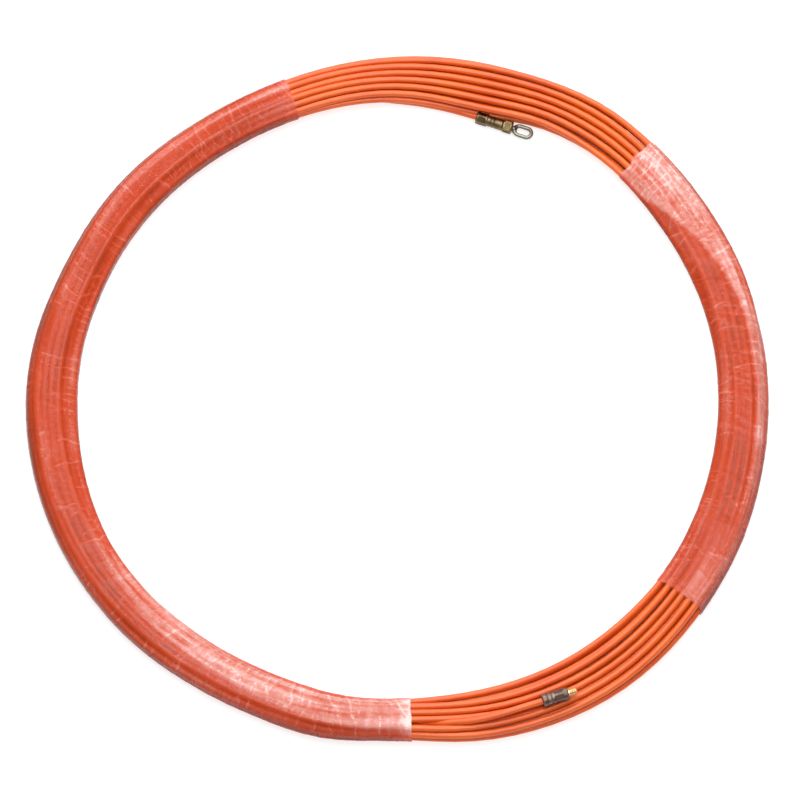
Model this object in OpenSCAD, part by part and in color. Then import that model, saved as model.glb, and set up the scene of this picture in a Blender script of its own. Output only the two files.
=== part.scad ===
// Fish tape coil: a long round tape wound in a flat ring, bound by two
// stretches of clear film, with a swivel pulling eye on its leader end
// and a threaded ferrule on its tail end. The ring lies on the floor,
// its axis is Z and its origin is the floor point at the ring's centre.

/* [Tape] */
// Diameter of the round tape
tape_d = 4.5; // [4:0.1:4.6]

/* [Coil] */
// Outside radius of the ring of turns
ring_out = 250; // [249:0.5:252]
// Radial width of the bundle of turns
bundle_w = 31; // [28:0.2:31.4]
// Height of the bundle of turns
bundle_h = 16.6; // [16:0.2:16.8]
// How far the loose turns stand out of the ring in the lower window
slack_out = 5; // [1:0.5:6]

/* [Film] */
// Thickness of all the layers of stretch film together
film_t = 0.4; // [0.2:0.1:0.8]
// Angle at which the right stretch of film starts
film_right_from = -38; // [-42:1:-34]
// Angle at which the right stretch of film ends
film_right_to = 45; // [40:1:50]
// Angle at which the left stretch of film starts
film_left_from = 108; // [104:1:112]
// Angle at which the left stretch of film ends
film_left_to = 272; // [271:1:276]

/* [Leader fitting] */
// Diameter of the leader ferrule
leader_d = 7.8; // [7.4:0.1:8.4]
// Length of the leader ferrule
leader_len = 19; // [18.5:0.5:21]
// Diameter of the ferrule's crimped collar
collar_d = 9.2; // [8.6:0.1:9.4]
// Length of the ferrule's crimped collar
collar_len = 8; // [6:0.5:9]
// Diameter of the swivel barrel
barrel_d = 8.8; // [8.4:0.1:9.2]
// Length of the swivel barrel
barrel_len = 6.6; // [6.2:0.1:7.4]

/* [Pulling eye] */
// Diameter of the eye's round bar
bar_d = 2.7; // [2.4:0.1:2.9]
// Clear width of the eye
eye_w = 4.0; // [3.6:0.1:4]
// Distance between the centres of the eye's two round ends
eye_straight = 5.2; // [4:0.1:6]
// Diameter of the eye's shank
shank_d = 3.2; // [3:0.1:3.4]

/* [Tail fitting] */
// Diameter of the tail ferrule
tail_d = 8.6; // [8:0.1:8.8]
// Length of the tail ferrule
tail_len = 18; // [17.5:0.5:20]
// Length of the threaded stud outside the ferrule
stud_proud = 6; // [4:0.5:8]

/* [Hidden] */

$fn = 96;
tape_colour = "orangered";
film_colour = [0.95, 0.6, 0.55, 0.5];

ring_in = ring_out - bundle_w;

// The lower window, and the part of it where the loose turns spread outwards
window_to = 360 + film_right_from;
slack_from = 288;
slack_to = window_to - 1;
slack_in = 6;         // the loose turns' inner side, outside the ring's own
slack_inset = 0.6;    // how much lower than the bundle the loose turns lie

// Threads are M5, as plain cylinders of the thread's outside diameter
thread_d = 5;
socket_len = 11;      // depth of the tape in each ferrule
socket_d = tape_d + 0.1;
socket_wall = 1.5;    // metal between the tape's end and the thread
groove_w = 0.8;       // rolled grooves that mark each crimp
groove_depth = 0.3;
edge = 0.5;           // chamfer on turned parts
relief_d = 4.2;       // thread relief beside the ferrule's mouth
relief_w = 0.8;

// Swivel: plug, gap, head, gap, front wall, from the barrel's rear face
plug_d = 6.4;
plug_len = 1.8;
head_d = 5.6;
head_len = 1.6;
head_gap = 0.2;
shank_gap = 0.07;     // running clearance on the radius
shoulder_gap = 0.4;   // between the barrel and the eye
boss_d = 4.4;

head_at = leader_len + plug_len + head_gap;
eye_at = leader_len + barrel_len + shoulder_gap;
eye_r = (eye_w + bar_d) / 2;
eye_rear = eye_at + eye_r + bar_d / 2;

// Place and heading of each fitting, at its ferrule's rear face
leader_at = [55, 206, 5.2];
leader_turn = -19.5;
tail_at = [97, -224, 21];
tail_turn = 18;

// Routes of the two ends of the tape that leave the coil
lead_route = [
    [-39, 219.5, 7], [-19, 219.5, 6.2], [0, 218, 5.6],
    [19, 215.5, 5.3], [37, 211.5, 5.2]
];
tail_route = [
    [14, -236, 11.2], [32, -237, 14.7], [50, -236.5, 17.4],
    [66, -233.5, 19.4], [82, -228.8, 20.7]
];
tube_sides = 10;
steps_per_span = 2;

// ---- Bundle and film -------------------------------------------------

// Section of the bundle: flat above and below, with round sides
module bundle_section(r_in, r_out, inset) {
    side_r = bundle_h / 2 - inset;
    mid_z = bundle_h / 2;
    translate([r_in + inset + side_r, mid_z]) circle(side_r);
    translate([r_out - inset - side_r, mid_z]) circle(side_r);
    translate([r_in + inset + side_r, mid_z - side_r])
        square([r_out - r_in - 2 * inset - 2 * side_r, 2 * side_r]);
}

module bundle_arc(from, to) {
    rotate([0, 0, from])
        rotate_extrude(angle = to - from)
            bundle_section(ring_in, ring_out, 0);
}

module slack_arc() {
    rotate([0, 0, slack_from])
        rotate_extrude(angle = slack_to - slack_from)
            bundle_section(ring_in + slack_in, ring_out + slack_out, slack_inset);
}

module film_arc(from, to) {
    rotate([0, 0, from])
        rotate_extrude(angle = to - from)
            difference() {
                bundle_section(ring_in, ring_out, 0);
                bundle_section(ring_in, ring_out, film_t);
            }
}

// Outer shape of the wound turns: pressed together under the film, and
// full size where the film leaves them bare
module tape_coil() {
    color(tape_colour) {
        rotate_extrude() bundle_section(ring_in, ring_out, film_t);
        bundle_arc(film_right_to, film_left_from);
        bundle_arc(film_left_to, window_to);
        slack_arc();
    }
}

module film_right() {
    color(film_colour) film_arc(film_right_from, film_right_to);
}

module film_left() {
    color(film_colour) film_arc(film_left_from, film_left_to);
}

// ---- Tape ends -------------------------------------------------------

function heading(turn) = [cos(turn), sin(turn), 0];

function unit(v) = v / norm(v);

// A point on the smooth curve through the points p, a share t along span i
function on_curve(p, i, t) =
    let (
        a = p[max(i - 1, 0)],
        b = p[i],
        c = p[i + 1],
        d = p[min(i + 2, len(p) - 1)]
    )
    0.5 * (2 * b + (c - a) * t + (2 * a - 5 * b + 4 * c - d) * t * t
        + (3 * b - a - 3 * c + d) * t * t * t);

function curve(p) = [
    for (i = [0 : len(p) - 2])
        for (k = [0 : steps_per_span - 1])
            on_curve(p, i, k / steps_per_span),
    p[len(p) - 1]
];

// A round tube swept along the points of a nearly level line
module tube(line, d) {
    last = len(line) - 1;
    rings = [
        for (i = [0 : last])
            let (
                ahead = unit(line[min(i + 1, last)] - line[max(i - 1, 0)]),
                side = unit(cross(ahead, [0, 0, 1])),
                up = cross(side, ahead)
            )
            for (k = [0 : tube_sides - 1])
                let (a = 360 * k / tube_sides)
                line[i] + d / 2 * (cos(a) * side + sin(a) * up)
    ];
    walls = [
        for (i = [0 : last - 1])
            for (k = [0 : tube_sides - 1])
                let (n = (k + 1) % tube_sides, at = i * tube_sides)
                [at + k, at + n, at + tube_sides + n, at + tube_sides + k]
    ];
    first_cap = [for (k = [tube_sides - 1 : -1 : 0]) k];
    last_cap = [for (k = [0 : tube_sides - 1]) last * tube_sides + k];
    polyhedron(rings, concat([first_cap], walls, [last_cap]));
}

// An end of the tape, from the coil to the bottom of its ferrule's socket
module tape_end(route, at, turn) {
    tube(curve(concat(route, [at, at + socket_len * heading(turn)])), tape_d);
}

module tape_lead() {
    color(tape_colour) tape_end(lead_route, leader_at, leader_turn);
}

module tape_tail() {
    color(tape_colour) tape_end(tail_route, tail_at, tail_turn);
}

// ---- Turned parts ----------------------------------------------------

// Puts a fitting that is built along Z at its place and heading
module placed(at, turn) {
    translate(at) rotate([0, 90, turn]) children();
}

module chamfered_rod(d, len) {
    rotate_extrude()
        polygon([
            [0, 0], [d / 2 - edge, 0], [d / 2, edge],
            [d / 2, len - edge], [d / 2 - edge, len], [0, len]
        ]);
}

module groove(d, at) {
    translate([0, 0, at])
        difference() {
            cylinder(d = d + 1, h = groove_w);
            translate([0, 0, -1]) cylinder(d = d - 2 * groove_depth, h = groove_w + 2);
        }
}

// The tape's socket at the rear and the threaded hole at the front
module ferrule_holes(len) {
    translate([0, 0, -1]) cylinder(d = socket_d, h = socket_len + 1);
    translate([0, 0, socket_len + socket_wall])
        cylinder(d = thread_d, h = len - socket_len);
}

// ---- Leader fitting --------------------------------------------------

module leader_ferrule() {
    color("darkgoldenrod")
        placed(leader_at, leader_turn)
            difference() {
                union() {
                    chamfered_rod(leader_d, leader_len);
                    chamfered_rod(collar_d, collar_len);
                }
                ferrule_holes(leader_len);
                groove(leader_d, collar_len + 2);
                groove(leader_d, collar_len + 4.4);
            }
}

// Stud that screws into the ferrule, with the plug that closes the barrel
module swivel_stud() {
    stud_from = socket_len + socket_wall;
    color("silver")
        placed(leader_at, leader_turn) {
            translate([0, 0, stud_from])
                cylinder(d = thread_d, h = leader_len - stud_from);
            translate([0, 0, leader_len]) cylinder(d = plug_d, h = plug_len);
        }
}

module swivel_barrel() {
    cavity_len = plug_len + head_len + 2 * head_gap;
    color("goldenrod")
        placed(leader_at, leader_turn)
            translate([0, 0, leader_len])
                difference() {
                    chamfered_rod(barrel_d, barrel_len);
                    translate([0, 0, -1]) cylinder(d = plug_d, h = cavity_len + 1);
                    cylinder(d = shank_d + 2 * shank_gap, h = barrel_len + 1);
                }
}

module eye_end() {
    rotate([90, 0, 90])
        rotate_extrude(angle = 180)
            translate([eye_r, 0]) circle(d = bar_d);
}

// Long eye of round bar on a shank, whose head turns inside the barrel
module pulling_eye() {
    color("lightgray")
        placed(leader_at, leader_turn) {
            translate([0, 0, head_at]) cylinder(d = head_d, h = head_len);
            translate([0, 0, head_at]) cylinder(d = shank_d, h = eye_at + 1 - head_at);
            translate([0, 0, eye_at]) cylinder(d = boss_d, h = bar_d / 2 + 0.8);
            translate([0, 0, eye_rear + eye_straight]) eye_end();
            translate([0, 0, eye_rear]) rotate([180, 0, 0]) eye_end();
            for (side = [-1, 1])
                translate([0, side * eye_r, eye_rear])
                    cylinder(d = bar_d, h = eye_straight);
        }
}

// ---- Tail fitting ----------------------------------------------------

module tail_ferrule() {
    color("dimgray")
        placed(tail_at, tail_turn)
            difference() {
                chamfered_rod(tail_d, tail_len);
                ferrule_holes(tail_len);
                groove(tail_d, 3);
                groove(tail_d, 6);
            }
}

// Threaded stud with a hexagon socket in its free end
module tail_stud() {
    stud_from = socket_len + socket_wall;
    stud_len = tail_len + stud_proud - stud_from;
    key_d = 2.5 / cos(30);
    color("gold")
        placed(tail_at, tail_turn)
            translate([0, 0, stud_from])
                difference() {
                    chamfered_rod(thread_d, stud_len);
                    translate([0, 0, stud_len - 2.4])
                        cylinder(d = key_d, h = 3, $fn = 6);
                    translate([0, 0, stud_len - stud_proud])
                        difference() {
                            cylinder(d = thread_d + 1, h = relief_w);
                            translate([0, 0, -1]) cylinder(d = relief_d, h = relief_w + 2);
                        }
                }
}

tape_coil();
tape_lead();
tape_tail();
film_right();
film_left();
leader_ferrule();
swivel_stud();
swivel_barrel();
pulling_eye();
tail_ferrule();
tail_stud();
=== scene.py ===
"""Looks of the fish tape coil: the wound tape, its film and its end fittings."""

import math

import bpy
import numpy as np
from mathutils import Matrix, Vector


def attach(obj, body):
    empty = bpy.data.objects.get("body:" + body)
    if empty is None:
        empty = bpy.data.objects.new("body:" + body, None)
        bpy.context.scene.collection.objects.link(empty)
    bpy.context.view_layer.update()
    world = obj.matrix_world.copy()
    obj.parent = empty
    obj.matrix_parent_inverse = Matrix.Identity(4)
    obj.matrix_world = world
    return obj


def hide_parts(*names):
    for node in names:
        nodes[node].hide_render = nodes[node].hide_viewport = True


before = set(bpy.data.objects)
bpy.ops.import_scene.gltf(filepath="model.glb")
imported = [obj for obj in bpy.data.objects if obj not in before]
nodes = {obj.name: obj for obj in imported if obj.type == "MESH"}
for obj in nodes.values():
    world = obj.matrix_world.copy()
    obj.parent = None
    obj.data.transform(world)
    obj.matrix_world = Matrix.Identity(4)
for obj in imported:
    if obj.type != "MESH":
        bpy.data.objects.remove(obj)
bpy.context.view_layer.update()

# Sizes in mm, as in the CAD source
MM = 0.001
TAPE_D = 4.5
COLLAR_D = 9.2            # the leader fitting at its widest
COLLAR_REACH = 41.0       # from its rear to the tip of the eye
TAIL_D = 8.6
TAIL_REACH = 24.0
SOCKET = 11.0             # how deep the tape sits in each ferrule

# Routes of the tape's two ends and the places of the fittings, in metres
LEAD_ROUTE = [
    (-0.039, 0.2195, 0.007), (-0.019, 0.2195, 0.0062), (0.0, 0.218, 0.0056),
    (0.019, 0.2155, 0.0053), (0.037, 0.2115, 0.0052),
]
TAIL_ROUTE = [
    (0.014, -0.236, 0.0112), (0.032, -0.237, 0.0147), (0.050, -0.2365, 0.0174),
    (0.066, -0.2335, 0.0194), (0.082, -0.2288, 0.0207),
]
LEADER_AT = (0.055, 0.206, 0.0052)
LEADER_TURN = math.radians(-19.5)
TAIL_AT = (0.097, -0.224, 0.021)
TAIL_TURN = math.radians(18)


# ---- Camera ----------------------------------------------------------

def look_at(obj, target):
    obj.rotation_euler = (Vector(target) - obj.location).to_track_quat("-Z", "Y").to_euler()


def add_camera():
    distance = 6.0
    elevation = math.radians(68.3)
    view_width = 0.540
    sensor = 36.0
    target = Vector((0.0024, -0.0036, 0.0083))
    camera = bpy.data.objects.new("camera", bpy.data.cameras.new("camera"))
    bpy.context.scene.collection.objects.link(camera)
    camera.location = target + distance * Vector(
        (0.0, -math.cos(elevation), math.sin(elevation)))
    look_at(camera, target)
    camera.data.sensor_width = sensor
    camera.data.lens = sensor * distance / view_width
    camera.data.clip_end = 50.0
    bpy.context.scene.camera = camera
    bpy.context.scene.view_settings.view_transform = "Standard"


add_camera()


# ---- Helpers ---------------------------------------------------------

def heading(turn):
    return np.array([math.cos(turn), math.sin(turn), 0.0])


def smoothstep(x):
    x = np.clip(x, 0.0, 1.0)
    return x * x * (3.0 - 2.0 * x)


def catmull_rom(points, steps):
    """Points on the smooth curve through the given ones, `steps` to a span."""
    p = np.asarray(points, float)
    t = (np.arange(steps) / steps)[:, None]
    out = []
    for i in range(len(p) - 1):
        a, b = p[max(i - 1, 0)], p[i]
        c, d = p[i + 1], p[min(i + 2, len(p) - 1)]
        out.append(0.5 * (2 * b + (c - a) * t + (2 * a - 5 * b + 4 * c - d) * t ** 2
                          + (3 * b - a - 3 * c + d) * t ** 3))
    out.append(p[-1:])
    return np.concatenate(out)


def noise2(u, v, seed):
    """Smooth value noise, 0 to 1, one cell to a unit of u and v."""
    iu, iv = np.floor(u).astype(np.int64), np.floor(v).astype(np.int64)
    fu, fv = smoothstep(u - iu), smoothstep(v - iv)

    def corner(du, dv):
        """A number from a hash of the cell's corner; the primes only scramble it."""
        h = (iu + du) * 374761393 + (iv + dv) * 668265263 + seed * 1442695041
        h = (h ^ (h >> 13)) * 1274126177 & 0x7FFFFFFF
        return ((h ^ (h >> 16)) & 0xFFFF) / 65535.0

    low = corner(0, 0) * (1 - fu) + corner(1, 0) * fu
    high = corner(0, 1) * (1 - fu) + corner(1, 1) * fu
    return low * (1 - fv) + high * fv


def grid_mesh(name, points, close_across=False, close_along=False, flip=False):
    """A mesh from points[along, across, xyz] in metres, smooth shaded."""
    rows, cols = points.shape[:2]
    i = np.arange(rows if close_along else rows - 1)
    k = np.arange(cols if close_across else cols - 1)
    ii, kk = np.meshgrid(i, k, indexing="ij")
    i1, k1 = (ii + 1) % rows, (kk + 1) % cols
    quads = np.stack([ii * cols + kk, i1 * cols + kk, i1 * cols + k1, ii * cols + k1], -1)
    quads = quads.reshape(-1, 4)
    if flip:
        quads = quads[:, ::-1]
    mesh = bpy.data.meshes.new(name)
    mesh.vertices.add(rows * cols)
    mesh.vertices.foreach_set("co", points.reshape(-1).astype(np.float32))
    mesh.loops.add(quads.size)
    mesh.loops.foreach_set("vertex_index", quads.reshape(-1).astype(np.int32))
    mesh.polygons.add(len(quads))
    mesh.polygons.foreach_set("loop_start", np.arange(0, quads.size, 4, dtype=np.int32))
    mesh.polygons.foreach_set("use_smooth", np.ones(len(quads), bool))
    mesh.update(calc_edges=True)
    obj = bpy.data.objects.new(name, mesh)
    bpy.context.scene.collection.objects.link(obj)
    return obj


def add_values(obj, name, values):
    """Gives each vertex a number that a material can read."""
    attribute = obj.data.attributes.new(name, "FLOAT", "POINT")
    attribute.data.foreach_set("value", np.ravel(values).astype(np.float32))


# ---- Materials -------------------------------------------------------

def new_material(name):
    material = bpy.data.materials.new(name)
    material.use_nodes = True
    tree = material.node_tree
    tree.nodes.clear()
    return material, tree


def node(tree, kind, **inputs):
    made = tree.nodes.new(kind)
    for key, value in inputs.items():
        made.inputs[key.replace("_", " ")].default_value = value
    return made


def ramp(tree, source, stops):
    made = tree.nodes.new("ShaderNodeValToRGB")
    elements = made.color_ramp.elements
    while len(elements) < len(stops):
        elements.new(0.5)
    for element, (at, colour) in zip(elements, stops):
        element.position = at
        element.color = (*colour, 1.0)
    tree.links.new(source, made.inputs["Fac"])
    return made


def values_of(tree, name):
    made = node(tree, "ShaderNodeAttribute")
    made.attribute_name = name
    return made.outputs["Fac"]


def noise(tree, where, scale, detail):
    made = node(tree, "ShaderNodeTexNoise", Scale=scale, Detail=detail)
    tree.links.new(where.outputs["Position"], made.inputs["Vector"])
    return made.outputs["Fac"]


def add_bump(tree, shader, height, strength, distance):
    bump = node(tree, "ShaderNodeBump", Strength=strength, Distance=distance)
    tree.links.new(height, bump.inputs["Height"])
    tree.links.new(bump.outputs["Normal"], shader.inputs["Normal"])


def tape_material():
    material, tree = new_material("tape_jacket")
    out = node(tree, "ShaderNodeOutputMaterial")
    shader = node(tree, "ShaderNodeBsdfPrincipled", Roughness=0.36)
    shader.inputs["Specular IOR Level"].default_value = 0.35
    shader.inputs["Coat Weight"].default_value = 0.25
    shader.inputs["Coat Roughness"].default_value = 0.3
    where = node(tree, "ShaderNodeNewGeometry")
    tint = ramp(tree, noise(tree, where, 38.0, 2.0),
                [(0.3, (0.66, 0.085, 0.006)), (0.7, (0.75, 0.125, 0.012))])
    add_bump(tree, shader, noise(tree, where, 900.0, 1.0), 0.08, 0.0002)
    tree.links.new(tint.outputs["Color"], shader.inputs["Base Color"])
    tree.links.new(shader.outputs["BSDF"], out.inputs["Surface"])
    return material


def film_material():
    """Clear film: "veil" is how much it hides, "pale" how white its creases are and also where
    painted highlights and painted shade lie on it.
    """
    material, tree = new_material("stretch_film")
    out = node(tree, "ShaderNodeOutputMaterial")
    clear = node(tree, "ShaderNodeBsdfTransparent")
    shader = node(tree, "ShaderNodeBsdfPrincipled", Roughness=0.22)
    shader.inputs["Specular IOR Level"].default_value = 0.4
    # The ramp's darkest stop is painted shade for the bundle's sides; its pale pink stops
    # carry painted highlights as well as the film's white creases.
    tint = ramp(tree, values_of(tree, "pale"),
                [(0.0, (0.26, 0.040, 0.020)), (0.2, (0.61, 0.056, 0.011)),
                 (0.4, (0.67, 0.105, 0.054)), (0.7, (0.73, 0.26, 0.20)),
                 (0.88, (0.84, 0.36, 0.32)), (1.0, (0.93, 0.64, 0.60))])
    where = node(tree, "ShaderNodeNewGeometry")
    add_bump(tree, shader, noise(tree, where, 520.0, 2.0), 0.35, 0.0004)
    mix = node(tree, "ShaderNodeMixShader")
    tree.links.new(tint.outputs["Color"], shader.inputs["Base Color"])
    tree.links.new(values_of(tree, "veil"), mix.inputs["Fac"])
    tree.links.new(clear.outputs["BSDF"], mix.inputs[1])
    tree.links.new(shader.outputs["BSDF"], mix.inputs[2])
    tree.links.new(mix.outputs["Shader"], out.inputs["Surface"])
    return material


def metal_material(name, dark, light, roughness):
    """Metal whose tone varies at random, with painted shade: it is darker where its per-vertex
    values are low, in its recesses and at the eye's root.
    """
    material, tree = new_material(name)
    out = node(tree, "ShaderNodeOutputMaterial")
    shader = node(tree, "ShaderNodeBsdfPrincipled", Metallic=1.0, Roughness=roughness)
    where = node(tree, "ShaderNodeNewGeometry")
    total = node(tree, "ShaderNodeMath")
    tree.links.new(noise(tree, where, 260.0, 3.0), total.inputs[0])
    tree.links.new(values_of(tree, "recess_shade"), total.inputs[1])
    tint = ramp(tree, total.outputs["Value"], [(0.3, dark), (0.7, light)])
    add_bump(tree, shader, noise(tree, where, 3000.0, 1.0), 0.15, 0.0001)
    tree.links.new(tint.outputs["Color"], shader.inputs["Base Color"])
    tree.links.new(shader.outputs["BSDF"], out.inputs["Surface"])
    return material


TAPE = tape_material()
FILM = film_material()
DULL_BRASS = metal_material("dull_brass", (0.10, 0.065, 0.035), (0.26, 0.18, 0.10), 0.42)
KNURLED_BRASS = metal_material("knurled_brass", (0.18, 0.13, 0.06), (0.32, 0.24, 0.12), 0.38)
STEEL = metal_material("nickel_steel", (0.13, 0.13, 0.10), (0.27, 0.26, 0.21), 0.38)
# The tail ferrule's steel has a brownish tint that is painted reflection of the orange tape.
REFLECTION_TINTED_STEEL = metal_material("ferrule_steel", (0.11, 0.07, 0.055), (0.26, 0.18, 0.15), 0.46)
BRIGHT_BRASS = metal_material("bright_brass", (0.75, 0.50, 0.25), (0.92, 0.66, 0.38), 0.25)


# ---- The bundle's outline --------------------------------------------

STEP_DEG = 3.0            # the tape has a station every 3 degrees
PER_TURN = 120
FIRST_DEG = 102.0         # where the first station is
TURNS = 20
LAST = 2456               # the last station, at 270 degrees
FILM_GAP = 0.15           # how far the film stands off the strands
BUNDLE_AREA = 565.0       # square mm of width times height that the turns fill
FLOOR_GAP = 0.45          # the lowest strands lie this far above the floor

# The bundle isn't quite round: (angle, spread in degrees, mm outwards)
OUTER_BULGES = [(75, 28, 2.2), (54, 9, 4.4), (122, 21, -10.0), (157, 10, -4.6),
                (240, 8, -2.0), (250, 5, -1.2), (259, 6, 0.8), (270, 7, -4.4),
                (305, 17, 9.5), (335, 10, 1.8)]
INNER_BULGES = [(50, 9, 2.6), (65, 6, 3.6), (75, 9, -4.4), (126, 24, -4.6), (160, 8, -2.0),
                (182, 8, -1.2), (212, 11, 2.8), (262, 7, 2.4), (302, 16, 3.2), (328, 8, 1.2),
                (340, 20, 0.7)]


def bell(deg, centre, spread):
    away = (deg - centre + 180.0) % 360.0 - 180.0
    return np.exp(-0.5 * (away / spread) ** 2)


def bulged(radius, bulges, deg):
    return radius + sum(out * bell(deg, centre, spread) for centre, spread, out in bulges)


def outer_radius(deg):
    return bulged(250.4, OUTER_BULGES, deg)


def inner_radius(deg):
    return bulged(217.5, INNER_BULGES, deg)


def bundle_height(deg):
    return np.clip(BUNDLE_AREA / (outer_radius(deg) - inner_radius(deg)), 16.6, 20.0)


# ---- The wound tape --------------------------------------------------
# A station is a place (radius from the ring's axis, height) at its angle.

RELAX_STEPS = 900
PUSH = 0.34               # share of an overlap that one step takes away
APART = 1.005             # strands settle this many diameters apart
SMOOTH_FIRST, SMOOTH_LAST = 0.5, 0.15
SMOOTH_STEPS = 200
POLISH = 6
CORNERS = 2.8             # how square the bundle's section is; 2 is an ellipse
NOWHERE = 1000.0          # unused stations are kept this far below the floor


def periodic_smooth(values, passes):
    for _ in range(passes):
        values = 0.5 * values + 0.25 * (np.roll(values, 1) + np.roll(values, -1))
    return values


def fill_outline(x, radius, r_in, r_out, used):
    """Spreads the strands of each section evenly so that they reach its outline."""
    grid = x.reshape(-1, PER_TURN, 2)
    strands = (used & (radius < TAPE_D)).reshape(-1, PER_TURN)
    outline = [r[:PER_TURN] for r in (r_in, r_out)]
    low = periodic_smooth(np.where(strands, grid[..., 0], 1e6).min(0), 3) - TAPE_D / 2
    high = periodic_smooth(np.where(strands, grid[..., 0], -1e6).max(0), 3) + TAPE_D / 2
    scale = (outline[1] - outline[0] - TAPE_D - 2 * FILM_GAP) / (high - low - TAPE_D)
    moved = outline[0] + FILM_GAP + TAPE_D / 2 + (grid[..., 0] - low - TAPE_D / 2) * scale
    return np.where(strands, moved, grid[..., 0]).reshape(-1)


def first_slots():
    """Places of the 21 strands in the section, each next to the one before."""
    rows = [(-0.95, 5, 0.74), (-0.32, 6, 0.95), (0.32, 6, 0.95), (0.95, 4, 0.62)]
    slots = []
    for n, (v, count, half) in enumerate(rows):
        u = np.linspace(-half, half, count)
        slots += [(x, v) for x in (u if n % 2 == 0 else u[::-1])]
    return np.array(slots)


def slow_wander(i):
    """A sum of long random waves, in mm, that keeps the turns from lying too evenly."""
    rng = np.random.default_rng(2)
    wander = np.zeros((len(i), 2))
    for _ in range(14):
        wave = rng.uniform(38, 110)
        phase = rng.uniform(0, 2 * math.pi, 2)
        wander += rng.uniform(0.2, 0.5, 2) * np.sin(2 * math.pi * i[:, None] / wave + phase)
    return wander


def end_disc(route, deg):
    """Radius from the axis and height of a route where it passes an angle."""
    line = catmull_rom(route, 24) / MM
    angle = np.degrees(np.arctan2(line[:, 1], line[:, 0])) % 360.0
    order = np.argsort(angle)
    reach = np.hypot(line[:, 0], line[:, 1])
    return (np.interp(deg, angle[order], reach[order]),
            np.interp(deg, angle[order], line[order, 2]))


def place_ends(x, radius, deg, fixed):
    """Puts the stations past the last one on the two free ends and the fittings."""
    leader_tip = np.array(LEADER_AT) + COLLAR_REACH * MM * heading(LEADER_TURN)
    tail_tip = np.array(TAIL_AT) + TAIL_REACH * MM * heading(TAIL_TURN)
    for station in np.where(fixed)[0]:
        a = deg[station]
        if 63.0 < a < 76.0:
            x[station] = end_disc([LEADER_AT, tuple(leader_tip)], a)
            radius[station] = COLLAR_D / 2 + 0.2
        elif 76.0 < a < 101.0:
            x[station] = end_disc(LEAD_ROUTE + [LEADER_AT], a)
        elif 272.0 < a < 293.0:
            x[station] = end_disc(TAIL_ROUTE + [TAIL_AT], a)
        elif 293.0 < a < 300.0:
            x[station] = end_disc([TAIL_AT, tuple(tail_tip)], a)
            radius[station] = TAIL_D / 2 + 0.1
        else:
            x[station] = (0.0, -NOWHERE - station)
    x[0] = (223.9, 7.3)
    x[LAST] = (235.0, 8.8)


def smooth_along(x, free, weight):
    smooth = x.copy()
    smooth[1:LAST] += weight * (0.5 * (x[:LAST - 1] + x[2:LAST + 1]) - x[1:LAST])
    x[free] = smooth[free]


def settle(x, free, radius, mid, half):
    """Lets the turns push each other apart inside the bundle's section."""
    turns = TURNS + 1
    same = np.eye(turns, dtype=bool)
    reach = (radius[:, None] + radius[None]) * APART
    for step in range(RELAX_STEPS):
        grid = x.reshape(turns, PER_TURN, 2)
        apart = grid[:, None] - grid[None]
        dist = np.linalg.norm(apart, axis=-1)
        dist[same] = 1e9
        push = np.clip(reach - dist, 0, None) / np.maximum(dist, 0.2)
        move = (push[..., None] * apart).sum(1).reshape(-1, 2)
        x[free] += PUSH * move[free]
        weight = max(SMOOTH_LAST, SMOOTH_FIRST * (1 - step / SMOOTH_STEPS))
        smooth_along(x, free, weight)
        smooth_along(x, free, weight)
        off = (x - mid) / half
        size = (np.abs(off) ** CORNERS).sum(1) ** (1 / CORNERS)
        out = free & (size > 1)
        x[out] = mid[out] + off[out] * half[out] / size[out, None]
        x[free, 1] = np.maximum(x[free, 1], TAPE_D / 2 + FLOOR_GAP)
    for _ in range(POLISH):
        smooth = x.copy()
        smooth[1:LAST] = 0.5 * x[1:LAST] + 0.25 * (x[:LAST - 1] + x[2:LAST + 1])
        x[free] = smooth[free]


def wind_tape():
    """Every station of the tape, turn after turn, and its angle."""
    i = np.arange((TURNS + 1) * PER_TURN)
    deg = (FIRST_DEG + STEP_DEG * i) % 360.0
    slots = first_slots()
    progress = np.clip(i / LAST * TURNS, 0, TURNS - 1e-6)
    low = progress.astype(int)
    share = (progress - low)[:, None]
    uv = slots[low] * (1 - share) + slots[low + 1] * share

    r_in, r_out = inner_radius(deg), outer_radius(deg)
    half_w = (r_out - r_in) / 2 - TAPE_D / 2 - 0.4
    half_h = bundle_height(deg) / 2 - TAPE_D / 2 - 0.2
    mid = np.stack([(r_in + r_out) / 2, half_h + TAPE_D / 2 + FLOOR_GAP], 1)
    half = np.stack([half_w, half_h], 1)
    x = mid + uv * half + slow_wander(i)

    fixed = i > LAST
    radius = np.full(len(i), TAPE_D / 2)
    place_ends(x, radius, deg, fixed)
    free = ~fixed
    free[[0, LAST]] = False
    settle(x, free, radius.reshape(TURNS + 1, PER_TURN), mid, half)
    spread = fill_outline(x, radius, r_in, r_out, free)
    x[free, 0] = spread[free]
    return x, deg


def tape_line(x, deg):
    """The tape's centreline in metres, from the leader's socket to the tail's."""
    a = np.radians(deg[:LAST + 1])
    r = x[:LAST + 1, 0]
    coil = np.stack([r * np.cos(a), r * np.sin(a), x[:LAST + 1, 1]], 1) * MM
    lead_end = np.array(LEADER_AT) + SOCKET * MM * heading(LEADER_TURN)
    tail_end = np.array(TAIL_AT) + SOCKET * MM * heading(TAIL_TURN)
    start = catmull_rom([lead_end, LEADER_AT] + LEAD_ROUTE[::-1] + [tuple(coil[0])], 4)
    end = catmull_rom([tuple(coil[-1])] + TAIL_ROUTE + [TAIL_AT, tail_end], 4)
    return np.concatenate([start[:-1], coil, end[1:]])


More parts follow.
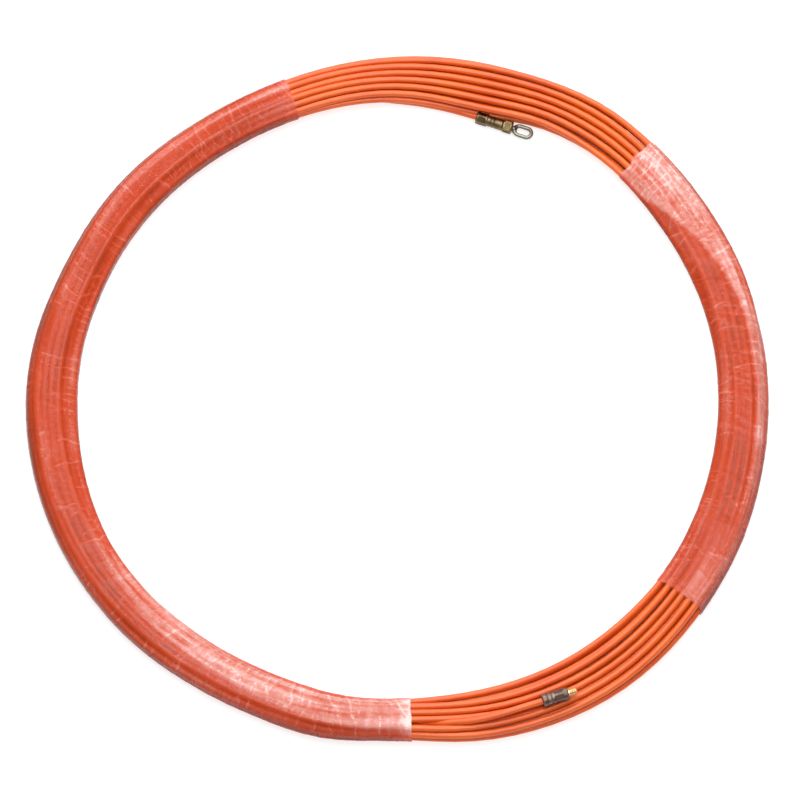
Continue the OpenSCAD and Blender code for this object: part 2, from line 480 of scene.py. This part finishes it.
def add_tape(line):
    curve = bpy.data.curves.new("tape", "CURVE")
    curve.dimensions = "3D"
    curve.bevel_depth = TAPE_D / 2 * MM
    curve.bevel_resolution = 4
    curve.use_fill_caps = True
    spline = curve.splines.new("POLY")
    spline.points.add(len(line) - 1)
    spline.points.foreach_set("co", np.c_[line, np.ones(len(line))].reshape(-1))
    spline.use_smooth = True
    curve.materials.append(TAPE)
    tape = bpy.data.objects.new("tape", curve)
    bpy.context.scene.collection.objects.link(tape)
    return tape


stations, station_deg = wind_tape()
tape = add_tape(tape_line(stations, station_deg))
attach(tape, "coil")
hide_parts("tape_coil", "tape_lead", "tape_tail")


# ---- The film's base surface -----------------------------------------

FILM_WIDTH = 60.0
FILM_PITCH = 29.2         # how far each turn of film moves on, so it is half over the last
RING_R = 234.5
RAYS = 140                # points round a section


def around_bundle(count):
    """Directions from a section's middle, evenly spread along its outline."""
    t = np.radians(-90.0 + np.arange(721) / 2)
    oval = np.stack([17.0 * np.cos(t), 9.0 * np.sin(t)], 1)
    run = np.concatenate([[0], np.cumsum(np.linalg.norm(np.diff(oval, axis=0), axis=1))])
    at = np.linspace(0, run[-1], count + 1)[:-1]
    even = np.stack([np.interp(at, run, oval[:, 0]), np.interp(at, run, oval[:, 1])], 1)
    return even / np.linalg.norm(even, axis=1, keepdims=True)


def hull_section(centres, middle, rays):
    """The outline that film pulled round strands at these centres takes."""
    a = np.radians(np.arange(240) * 1.5)
    n = np.stack([np.cos(a), np.sin(a)], 1)
    support = (centres @ n.T).max(0) + TAPE_D / 2 + FILM_GAP - middle @ n.T
    toward = rays @ n.T
    reach = np.where(toward > 0.05, support / np.maximum(toward, 0.05), 1e9).min(1)
    return middle + reach[:, None] * rays


def all_sections(x):
    """The film's outline at every third degree, and its mean length."""
    grid = x.reshape(TURNS + 1, PER_TURN, 2)
    rays = around_bundle(RAYS)
    sections = []
    for j in range(PER_TURN):
        o = (j - int(FIRST_DEG / STEP_DEG)) % PER_TURN
        deg = j * STEP_DEG
        centres = grid[:, o]
        if o > LAST - TURNS * PER_TURN:
            centres = centres[:TURNS]
        middle = np.array([(inner_radius(deg) + outer_radius(deg)) / 2,
                           bundle_height(deg) / 2 + FLOOR_GAP])
        sections.append(hull_section(centres, middle, rays))
    sections = np.array(sections)
    girth = np.linalg.norm(sections - np.roll(sections, 1, axis=1), axis=-1).sum(1)
    return sections, float(girth.mean())


SECTIONS, GIRTH = all_sections(stations)
CENTRES = np.roll(stations.reshape(TURNS + 1, PER_TURN, 2), int(FIRST_DEG / STEP_DEG), 1)
CENTRES = CENTRES.transpose(1, 0, 2)


def strand_gap(deg, here):
    """How far points of the film, in mm, are from the strand nearest to them."""
    g = (deg / STEP_DEG) % PER_TURN
    j = np.floor(g).astype(int)
    f = (g - j)[..., None, None]
    centres = CENTRES[j] * (1 - f) + CENTRES[(j + 1) % PER_TURN] * f
    r = np.hypot(here[..., 0], here[..., 1])[..., None]
    apart = np.hypot(centres[..., 0] - r, centres[..., 1] - here[..., 2:3])
    return apart.min(-1) - TAPE_D / 2


def base_point(deg, share):
    """Points of the base surface at an angle and a share of the way round it."""
    g = (deg / STEP_DEG) % PER_TURN
    j = np.floor(g).astype(int)
    f = (g - j)[..., None]
    k = (share % 1.0) * RAYS
    m = np.floor(k).astype(int)
    h = (k - m)[..., None]
    m0, m1 = m % RAYS, (m + 1) % RAYS
    j0, j1 = j % PER_TURN, (j + 1) % PER_TURN
    low = SECTIONS[j0, m0] * (1 - h) + SECTIONS[j0, m1] * h
    high = SECTIONS[j1, m0] * (1 - h) + SECTIONS[j1, m1] * h
    rz = low * (1 - f) + high * f
    a = np.radians(deg)
    return np.stack([rz[..., 0] * np.cos(a), rz[..., 0] * np.sin(a), rz[..., 1]], -1)


def on_bundle(deg, share):
    """Points and outward normals of the base surface."""
    along = base_point(deg + 0.4, share) - base_point(deg - 0.4, share)
    around = base_point(deg, share + 0.012) - base_point(deg, share - 0.012)
    normal = np.cross(along, around)
    normal /= np.linalg.norm(normal, axis=-1, keepdims=True)
    return base_point(deg, share), normal


# ---- Film ------------------------------------------------------------

HOLD, EASE = 0.9, 0.9     # turns that stay in place at each end, and that get going
ALONG_STEP, ACROSS_STEP = 1.6, 0.8
SEEN_THROUGH = 0.38       # how much plain film hides of what is under it
PLAIN_TINT = 0.19         # where plain film is on the way from dark to white


def wrinkles(w, run, seed):
    """How strong the film's ridges, folds, crinkle and pale creases are."""
    skew = run * 0.16 + 6.0 * noise2(run / 60, w / 40, seed)
    fine = 1 - np.abs(2 * noise2((w + skew) / 2.4, run / 20, seed + 1) - 1)
    broad = 1 - np.abs(2 * noise2((w - 0.6 * skew) / 9.0, run / 45, seed + 2) - 1)
    where = smoothstep(1.8 * noise2(w / 12, run / 14, seed + 3) - 0.4)
    crinkle = noise2(w / 1.9, run / 1.7, seed + 4)
    folds = smoothstep((broad - 0.8) / 0.2)
    ridges = smoothstep((fine - 0.6) / 0.4) * where
    bend = 13.0 * noise2(w / 17, run / 24, seed + 13) + 3.0 * noise2(w / 6, run / 8, seed + 11)
    phase = (w + 0.35 * run + bend) / 7.5
    nearness = 1 - np.abs(2 * (phase - np.floor(phase)) - 1)
    patches = smoothstep(2.4 * noise2(w / 11, run / 17, seed + 12) - 0.9)
    creases = smoothstep((nearness - 0.74) / 0.26) * patches
    return ridges, folds, crinkle, creases


def band(side, low, high, soft=0.22):
    """1 between two places across the bundle's top, where -1 is inside and 1 outside."""
    return smoothstep((side - low) / soft) * smoothstep((high - side) / soft)


def strip_start(t, turns, reach):
    """How far along the ring, in mm, the strip's first edge is after t turns."""
    rate = smoothstep((t - HOLD) / EASE) * smoothstep((turns - HOLD - t) / EASE)
    start = np.concatenate([[0], np.cumsum((rate[1:] + rate[:-1]) / 2)])
    return start / start[-1] * (reach - FILM_WIDTH)


def tucked(start, w, run, t, turns, seed, ragged):
    """The strip's points along the ring in mm, with both outermost edges uneven."""
    first = smoothstep(1.6 - t)[:, None]
    last = smoothstep(t - turns + 1.6)[:, None]
    tuck = (2.2 * noise2(run / 9, 0 * run + seed, seed + 5)
            + 1.2 * noise2(run / 3, 0 * run, seed + 6))
    first_in = (1 - smoothstep(w / 9)) * tuck * ragged[0] * first
    last_in = (1 - smoothstep((FILM_WIDTH - w) / 9)) * tuck[::-1] * ragged[1] * last
    return start[:, None] + w + first_in - last_in


def layers_below(x, start, t):
    """How many earlier turns of the strip lie under each of its points."""
    below = np.zeros_like(x)
    for n in range(1, 6):
        earlier = np.interp(t - n, t, start, left=-1e6)[:, None] + FILM_WIDTH
        below += smoothstep((earlier - x) / 0.9 + 0.5)
    return below


def add_film(name, from_deg, to_deg, seed, painted_light_at, ragged, white):
    """One strip of film wound round and round the bundle, each turn over the last.

    The function passed in gives its painted highlights and painted shade at an angle and a
    place across; ragged and white say how uneven and how white its two ends are."""
    reach = math.radians(to_deg - from_deg) * RING_R
    turns = (reach - FILM_WIDTH) / FILM_PITCH + EASE + 2 * HOLD
    t = np.linspace(0, turns, int(turns * GIRTH / ALONG_STEP))
    w = np.linspace(0, FILM_WIDTH, int(FILM_WIDTH / ACROSS_STEP))[None, :]
    run = (t * GIRTH)[:, None]
    start = strip_start(t, turns, reach)
    x = tucked(start, w, run, t, turns, seed, ragged)
    below = layers_below(x, start, t)
    deg = from_deg + np.degrees(x / RING_R)
    here, normal = on_bundle(deg, t[:, None] + 0 * w)
    r_in, r_out = inner_radius(deg), outer_radius(deg)
    side = (2 * np.hypot(here[..., 0], here[..., 1]) - r_in - r_out) / (r_out - r_in)

    ridges, folds, crinkle, creases = wrinkles(w + 0 * run, run + 0 * w, seed)
    streaks = noise2(side * 8.0 + 20, deg / 16.0 + 30, seed + 7)
    lines = noise2(side * 15.0 + 40, deg / 7.0 + 30, seed + 10)
    pull = noise2(side * 4.0 + 20, deg / 9.0 + 30, seed + 9)
    lift = (0.07 * ridges + 0.14 * crinkle + 0.14 * folds + 0.24 * streaks + 0.16 * lines
            + 0.3 * pull + 0.12 * creases)
    groove = np.clip(strand_gap(deg, here) - 0.1, 0, 1.1)
    thick = 0.12 + 0.09 * below - 0.32 * groove
    points = here + (thick + lift)[..., None] * normal
    lowest = np.where(below > 0.5, 0.02, 0.12)
    points[..., 2] = np.maximum(points[..., 2], lowest)
    film = grid_mesh(name, points * MM, flip=True)

    # Painted light: the painted highlights and painted shade are full on the top of the bundle
    # and weaker on its underside.
    upper = smoothstep((here[..., 2] - 5.0) / 6.0)
    painted_light_here = painted_light_at(deg, side) * (0.35 + 0.65 * upper)
    edge_mark = np.exp(-w / 0.8) + np.exp(-(FILM_WIDTH - w) / 0.8)
    patch = noise2(x / 22, run / 30, seed + 8)
    ends = (white[0] * np.exp(-np.clip(x, 0, None) / 3.5)
            + white[1] * np.exp(-np.clip(reach - x, 0, None) / 3.5))
    spots = smoothstep((crinkle - 0.3) / 0.45)
    # Painted shade: the film is darker and more opaque towards the bundle's two sides.
    painted_side_shade = smoothstep((np.abs(side) - 0.84) / 0.16)
    veil = (SEEN_THROUGH + 0.08 * (patch - 0.5) + 0.04 * folds + 0.05 * edge_mark
            + 0.16 * groove + 0.22 * painted_light_here + 0.20 * painted_side_shade + 0.25 * ends
            + 0.14 * creases)
    # pale: besides the film's white creases, edges and ends, it holds painted highlight bands
    # made streaky lengthwise, painted shade over the gaps between strands, and painted shade
    # at the bundle's sides.
    pale = (PLAIN_TINT + painted_light_here * (0.75 + 0.35 * (streaks - 0.5) + 0.45 * (lines - 0.5)
                                      + 0.15 * (patch - 0.5) + 0.18 * (spots - 0.5))
            + 0.06 * (patch - 0.5) + 0.04 * (spots - 0.5) + 0.16 * (streaks - 0.5)
            + 0.16 * (lines - 0.5) + (0.04 + 0.10 * painted_light_here) * (ridges + folds)
            - (0.06 + 0.20 * painted_light_here) * groove
            + 0.12 * edge_mark + 0.8 * ends + 0.26 * creases) * (1.0 - 0.75 * painted_side_shade)
    inside = smoothstep(w / 1.8) * smoothstep((FILM_WIDTH - w) / 1.8)
    veil *= 0.3 + 0.7 * inside + 0.7 * np.clip(ends, 0, 1)
    add_values(film, "veil", np.clip(veil, 0.08, 0.85))
    add_values(film, "pale", np.clip(pale, 0, 1))
    film.data.materials.append(FILM)
    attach(film, "coil")
    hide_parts(name.replace("wound_", ""))
    return film, float((turns * GIRTH) * MM)


# Painted highlight on the right strip: pale bands on its outer top, along its inner rim and
# near its lower end, where the film faces the back light.
def painted_highlight_right(deg, side):
    low = np.interp(deg, [-10, 16, 28, 44], [0.45, 0.30, -0.20, -1.3])
    strength = np.interp(deg, [-34, -8, 8, 24, 45], [0.06, 0.60, 0.66, 0.80, 0.78])
    corner = 0.35 * bell(deg, -34, 3.5) * band(side, 0.0, 1.0)
    inner = 0.16 * band(-side, 0.45, 1.05)
    return 0.04 + strength * band(side, low, 0.98) + corner + inner


# Painted light on the left strip: a pale streak, an inner rim and a wide band on the inner
# half towards 270 degrees are painted highlight, with painted shade on the outer side near 180
# degrees.
def painted_light_left(deg, side):
    strength = np.interp(deg, [106, 150, 200, 215], [0.46, 0.32, 0.32, 0.0])
    streak = strength * band(side, 0.20, 0.72)
    rim = 0.30 * bell(deg, 178, 24) * band(-side, 0.50, 1.15)
    top = np.interp(deg, [196, 215, 240, 270], [-0.45, -0.05, 0.35, 0.85])
    wide = 0.70 * smoothstep((deg - 190) / 45) * band(side, -1.4, top)
    edge = 0.28 * smoothstep((deg - 190) / 25) * band(side, 0.66, 1.05, 0.15)
    shade = 0.10 * bell(deg, 178, 26) * band(side, 0.25, 1.15)
    return 0.02 + streak + rim + wide + edge - shade + 0.15 * bell(deg, 108, 4)


film_right, right_strip = add_film(
    "wound_film_right", -38, 47, 5, painted_highlight_right, ragged=(0.6, 1.9), white=(0.2, 0.15))
film_left, left_strip = add_film(
    "wound_film_left", 108, 272.5, 9, painted_light_left, ragged=(0.4, 0.3), white=(0.1, 0.9))


# ---- Fittings --------------------------------------------------------
# Sizes are in mm, along the fitting's own axis from its rear end.

THREAD_PITCH = 0.8
KNURL_RIBS = 40
KEY_SOCKET = 2.5          # width across the flats of the stud's hexagon socket
TAPE_HOLE = [(11, 0), (11, 2.3), (0, 2.3)]


def placed(points, at, turn):
    """Points [..., (ahead, aside, up)] in mm, put at a fitting's place and heading."""
    ahead = heading(turn)
    aside = np.array([-ahead[1], ahead[0], 0.0])
    return np.array(at) + points @ np.stack([ahead, aside, (0.0, 0.0, 1.0)]) * MM


def finer(profile, step):
    """The profile's points, with others between them no further apart than step."""
    out = [profile[0]]
    for a, b in zip(profile, profile[1:]):
        count = max(1, math.ceil(math.dist(a, b) / step))
        out += [tuple(np.array(a) + (np.array(b) - a) * k / count)
                for k in range(1, count + 1)]
    return np.array(out)


def turned(name, profile, at, turn, relief=None, step=0.25, sides=96):
    """A turned part: its profile is (along, radius) in mm, and relief changes the radius."""
    along, radius = (v[:, None] for v in finer(profile, step).T)
    a = np.linspace(0, 2 * math.pi, sides, endpoint=False)[None, :]
    cut = relief(along, a, radius) if relief else 0.0 * radius * a
    reach = radius + cut
    points = np.stack([along + 0 * a, reach * np.cos(a), -reach * np.sin(a)], -1)
    part = grid_mesh(name, placed(points, at, turn), close_across=True)
    # Painted shade: the part is darker where its outside is pressed or cut in (crimp flats,
    # knurl and thread grooves).
    add_values(part, "recess_shade", np.clip(0.9 * cut, -0.3, 0.1))
    return part


def between(x, start, end, soft=0.5):
    return smoothstep((x - start) / soft) * smoothstep((end - x) / soft)


def six_sided(a, flat):
    return flat / np.cos((a + math.pi / 6) % (math.pi / 3) - math.pi / 6)


def crimp(start, end, flat):
    """Six flats pressed into a sleeve between two places."""
    def relief(x, a, r):
        outside = r > 3.0
        return np.minimum(six_sided(a, flat) - r, 0) * between(x, start, end, 0.7) * outside
    return relief


def knurl(x, a, r):
    ribs = 0.5 * np.cos(KNURL_RIBS * a) - 0.5
    return 0.22 * ribs * between(x, 20.0, 24.7, 0.3) * (r > 4.2)


def thread_and_socket(x, a, r):
    thread = 0.5 * np.cos(2 * math.pi * x / THREAD_PITCH - a) - 0.5
    socket = smoothstep((1.5 - r) / 0.25) * (x > 21.5) * (r > 1.2)
    flat = KEY_SOCKET / 2
    return (0.30 * thread * between(x, 18.9, 23.5, 0.3) * (r > 2.2)
            + socket * (six_sided(a, flat) - flat))


def eye_loop(name, centre_rear, straight, radius, bar):
    """Long closed ring of round bar, thicker where it meets its shank."""
    arc = np.linspace(0, math.pi, 41)
    front = np.stack([centre_rear + straight + radius * np.sin(arc), radius * np.cos(arc)], 1)
    rear = np.stack([centre_rear - radius * np.sin(arc), -radius * np.cos(arc)], 1)
    line = np.concatenate([front, rear])
    ahead = np.roll(line, -1, axis=0) - np.roll(line, 1, axis=0)
    ahead /= np.linalg.norm(ahead, axis=1, keepdims=True)
    out = np.stack([ahead[:, 1], -ahead[:, 0]], 1)
    root = np.exp(-((line[:, 0] - centre_rear + radius) / 0.9) ** 2)
    sides = 24
    a = np.linspace(0, 2 * math.pi, sides, endpoint=False)[None, :, None]
    size = (bar / 2 + 0.35 * root)[:, None, None]
    flat = line[:, None, :] + size * np.cos(a) * out[:, None, :]
    up = size * np.sin(a)
    points = np.concatenate([flat, up], -1)
    loop = grid_mesh(name, placed(points, LEADER_AT, LEADER_TURN), True, True, flip=True)
    # Painted shade: the loop is darker at its root, where it meets the shank.
    add_values(loop, "recess_shade", np.repeat(0.12 * (1 - root), sides))
    return loop


def join(parts):
    with bpy.context.temp_override(active_object=parts[0], selected_editable_objects=parts):
        bpy.ops.object.join()
    return parts[0]


def fit(part, body, node_name, material):
    part.data.materials.append(material)
    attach(part, body)
    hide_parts(node_name)
    return part


fit(turned("crimped_leader_ferrule", TAPE_HOLE + [
    (0, 4.1), (0.5, 4.6), (7.5, 4.6), (8, 4.1), (8, 3.9), (10, 3.9), (10.2, 3.6), (10.6, 3.6),
    (10.8, 3.9), (12.4, 3.9), (12.6, 3.6), (13.0, 3.6), (13.2, 3.9), (18.5, 3.9), (19, 3.4),
    (19, 2.5), (12.5, 2.5), (12.5, 0)], LEADER_AT, LEADER_TURN, crimp(1.3, 6.7, 4.15)),
    "coil", "leader_ferrule", DULL_BRASS)
fit(turned("knurled_barrel", [
    (19, 3.2), (19, 3.9), (19.5, 4.4), (25.1, 4.4), (25.6, 3.9), (25.6, 1.67), (22.8, 1.67),
    (22.8, 3.2), (19, 3.2)], LEADER_AT, LEADER_TURN, knurl, sides=8 * KNURL_RIBS),
    "coil", "swivel_barrel", KNURLED_BRASS)
eye_shank = turned("eye_shank", [
    (21, 0), (21, 2.8), (22.6, 2.8), (22.6, 1.6), (26, 1.6), (26, 1.9), (26.3, 2.2),
    (27.4, 2.2), (28.6, 1.4), (28.8, 0)], LEADER_AT, LEADER_TURN)
fit(join([eye_loop("bar_eye", 30.7, 5.2, 3.35, 2.7), eye_shank]),
    "eye", "pulling_eye", STEEL)
tail_ferrule = fit(turned("crimped_tail_ferrule", TAPE_HOLE + [
    (0, 3.8), (0.5, 4.3), (3, 4.3), (3.2, 4.0), (3.6, 4.0), (3.8, 4.3), (6, 4.3), (6.2, 4.0),
    (6.6, 4.0), (6.8, 4.3), (17.5, 4.3), (18, 3.8), (18, 2.5), (12.5, 2.5), (12.5, 0)],
    TAIL_AT, TAIL_TURN, crimp(8.2, 14.6, 3.95)),
    "coil", "tail_ferrule", REFLECTION_TINTED_STEEL)
tail_stud = fit(turned("threaded_stud", [
    (12.5, 0), (12.5, 2.0), (13, 2.5), (18, 2.5), (18, 2.1), (18.8, 2.1), (18.8, 2.5),
    (23.5, 2.5), (24, 2.0), (24, 1.25), (21.6, 1.25), (21.6, 0)],
    TAIL_AT, TAIL_TURN, thread_and_socket, step=0.08, sides=72),
    "coil", "tail_stud", BRIGHT_BRASS)

nodes["swivel_stud"].data.materials.clear()
nodes["swivel_stud"].data.materials.append(STEEL)


# ---- Stage and light -------------------------------------------------

def add_floor():
    bpy.ops.mesh.primitive_plane_add(size=60.0, location=(0, 0, -0.0002))
    floor = bpy.context.object
    floor.name = "floor"
    material, tree = new_material("floor_white")
    out = node(tree, "ShaderNodeOutputMaterial")
    shader = node(tree, "ShaderNodeBsdfPrincipled", Roughness=0.9)
    shader.inputs["Base Color"].default_value = (0.42, 0.42, 0.42, 1.0)
    shader.inputs["Specular IOR Level"].default_value = 0.1
    shader.inputs["Emission Color"].default_value = (1.0, 1.0, 1.0, 1.0)
    shader.inputs["Emission Strength"].default_value = 0.72
    tree.links.new(shader.outputs["BSDF"], out.inputs["Surface"])
    floor.data.materials.append(material)


def add_light(name, place, size, power):
    data = bpy.data.lights.new(name, "AREA")
    data.shape = "RECTANGLE"
    data.size, data.size_y = size
    data.energy = power
    lamp = bpy.data.objects.new(name, data)
    bpy.context.scene.collection.objects.link(lamp)
    lamp.location = place
    look_at(lamp, (0, 0, 0))


def add_world():
    world = bpy.data.worlds.new("studio")
    world.use_nodes = True
    background = world.node_tree.nodes["Background"]
    background.inputs["Color"].default_value = (1.0, 1.0, 1.0, 1.0)
    background.inputs["Strength"].default_value = 0.31
    bpy.context.scene.world = world


add_floor()
add_light("back", (0.0, 2.2, 1.9), (3.4, 1.0), 82.0)
add_light("top", (0.0, 0.2, 2.8), (1.6, 1.6), 46.0)
add_light("front", (0.4, -1.2, 2.4), (1.2, 1.2), 16.0)
add_world()
